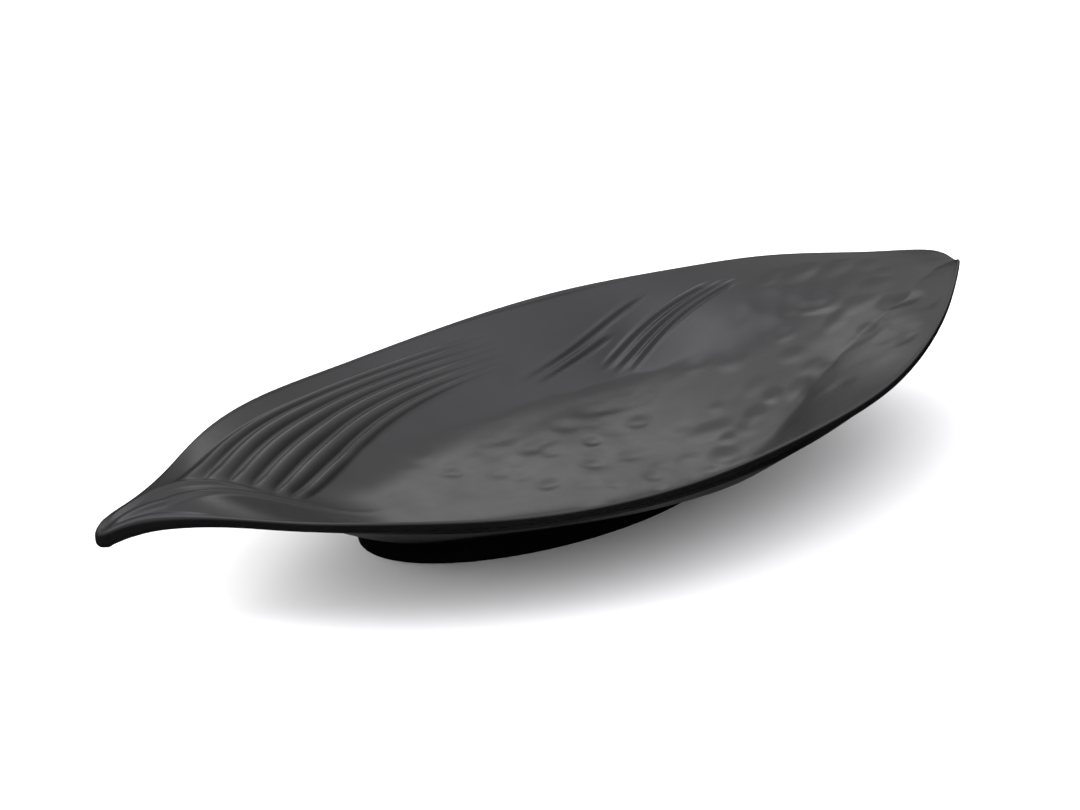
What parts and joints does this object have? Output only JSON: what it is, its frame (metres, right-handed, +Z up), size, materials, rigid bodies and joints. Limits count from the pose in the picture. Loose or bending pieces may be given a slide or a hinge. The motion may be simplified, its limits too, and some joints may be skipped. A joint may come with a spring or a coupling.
{
  "type": "leaf-shaped serving dish",
  "caption": "Shallow leaf-shaped serving dish with a curled stem, a fluted flank and a raised tip, standing on an oval foot ring.",
  "frame": {"origin": "on the table, under the middle of the leaf's bounding box", "axes": "+X from the stem to the leaf's tip, +Y towards the fluted flank, +Z up"},
  "size_m": [0.42, 0.184, 0.0622],
  "materials": {
    "dish_satin": "satin black, hammered floor",
    "foot_matt": "matt black"
  },
  "bodies": {
    "root": {"leaf_dish": "dish_satin", "foot_ring": "foot_matt"}
  },
  "joints": []
}
